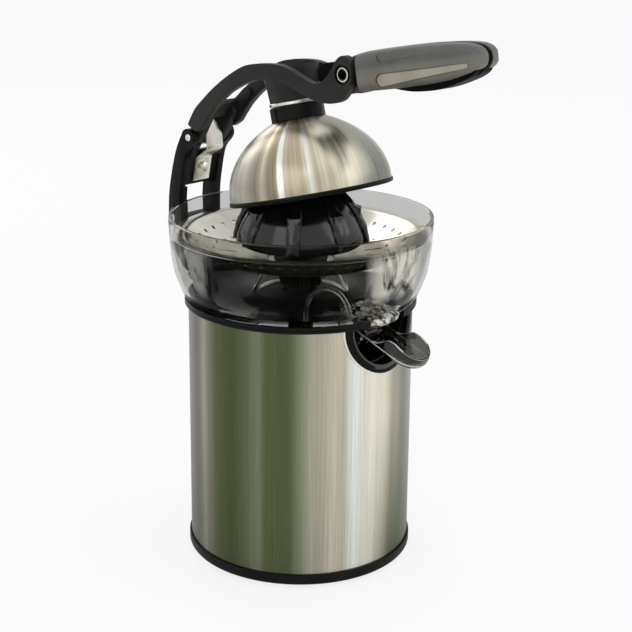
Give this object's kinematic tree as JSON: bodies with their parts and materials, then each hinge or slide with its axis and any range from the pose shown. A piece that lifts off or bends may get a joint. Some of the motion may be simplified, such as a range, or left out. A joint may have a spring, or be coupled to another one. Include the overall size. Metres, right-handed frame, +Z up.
{
  "type": "lever citrus juice press",
  "caption": "Upright electric citrus press: steel-sleeved body, clear juice bowl, ribbed reamer, pouring spout and a hinged lever arm with a steel pressing dome and long handle.",
  "frame": {"origin": "centre of the base plate at its underside, on the axis of the body", "axes": "+Z up along the body, -Y towards the spout and the handle, +Y towards the rear post, +X to the right seen from the spout side"},
  "size_m": [0.175, 0.2564, 0.3584],
  "materials": {
    "brushed_steel": "vertically brushed stainless steel",
    "bright_steel": "smooth bright steel",
    "black_plastic": "black, semi-gloss",
    "charcoal_plastic": "fine matt charcoal",
    "grey_grip": "warm grey satin grip",
    "beige_panel": "beige grey satin",
    "clear_plastic": "clear, slightly grey plastic",
    "rubber": "matt black rubber",
    "nylon": "natural nylon",
    "copper": "enamelled copper",
    "brass": "plain brass"
  },
  "bodies": {
    "housing": {"base_plate": "black_plastic", "base_ring": "black_plastic", "foot_1": "rubber", "foot_2": "rubber", "foot_3": "rubber", "foot_4": "rubber", "outer_sleeve": "brushed_steel", "inner_housing": "black_plastic", "cord_gland": "rubber", "top_deck": "black_plastic", "spout_bezel": "black_plastic", "bowl": "clear_plastic", "strainer": "bright_steel", "spout_pin": "bright_steel", "return_spring": "bright_steel", "shaft_bush": "brass", "idler_pin": "bright_steel", "gear_tray": "black_plastic", "gear_cover": "black_plastic", "microswitch": "black_plastic", "motor_frame": "brushed_steel", "stator": "brushed_steel", "winding_top": "copper", "winding_bottom": "copper", "rear_post": "charcoal_plastic", "post_screw_1": "bright_steel", "post_screw_2": "bright_steel", "hinge_pin": "bright_steel", "stop_pin": "bright_steel", "leaf_spring": "bright_steel", "leaf_screw": "bright_steel"},
    "arm": {"arm_frame": "charcoal_plastic", "dome_rim": "black_plastic", "dome_shell": "brushed_steel", "dome_insert": "black_plastic", "dome_collar": "black_plastic", "stem_washer": "bright_steel", "dome_screw": "bright_steel", "handle_core": "black_plastic", "handle_grip": "grey_grip", "handle_panel_left": "beige_panel", "handle_panel_right": "beige_panel", "handle_end_cap": "charcoal_plastic", "handle_bolt": "bright_steel", "handle_nut": "bright_steel"},
    "spout": {"spout_trough": "clear_plastic"},
    "slider": {"thrust_collar": "nylon"},
    "drive": {"reamer": "black_plastic", "drive_coupling": "black_plastic", "drive_shaft": "bright_steel"},
    "output": {"output_gear": "nylon"},
    "idler": {"idler_gear": "nylon"},
    "rotor": {"motor_shaft": "bright_steel", "armature": "brushed_steel", "commutator": "copper", "cooling_fan": "nylon", "motor_pinion": "brass"}
  },
  "joints": [
    {"name": "arm_hinge", "type": "hinge", "parent": "housing", "child": "arm", "pos_m": [0, 0.0885, 0.2725], "axis": [-1, 0, 0], "range_deg": [-13.8, 80]},
    {"name": "spout_hinge", "type": "hinge", "parent": "housing", "child": "spout", "pos_m": [0, -0.06, 0.16], "axis": [-1, 0, 0], "range_deg": [0, 18]},
    {"name": "press_slide", "type": "slide", "parent": "housing", "child": "slider", "axis": [0, 0, -1], "range_m": [0, 0.002], "stiffness_N_per_m": 2000, "springref_m": -0.002, "deforming": ["return_spring"]},
    {"name": "cone_spin", "type": "hinge", "parent": "slider", "child": "drive", "pos_m": [0, 0, 0.2], "axis": [0, 0, 1], "continuous": true},
    {"name": "output_spin", "type": "hinge", "parent": "housing", "child": "output", "pos_m": [0, 0, 0.116], "axis": [0, 0, 1], "continuous": true},
    {"name": "idler_spin", "type": "hinge", "parent": "housing", "child": "idler", "pos_m": [-0.03031, 0.0175, 0.11], "axis": [0, 0, 1], "continuous": true},
    {"name": "rotor_spin", "type": "hinge", "parent": "housing", "child": "rotor", "pos_m": [0, 0, 0.05], "axis": [0, 0, 1], "continuous": true}
  ],
  "couplings": [
    {"joint": "output_spin", "follows": "cone_spin", "ratio": 1},
    {"joint": "idler_spin", "follows": "cone_spin", "ratio": -3},
    {"joint": "rotor_spin", "follows": "cone_spin", "ratio": 9}
  ]
}
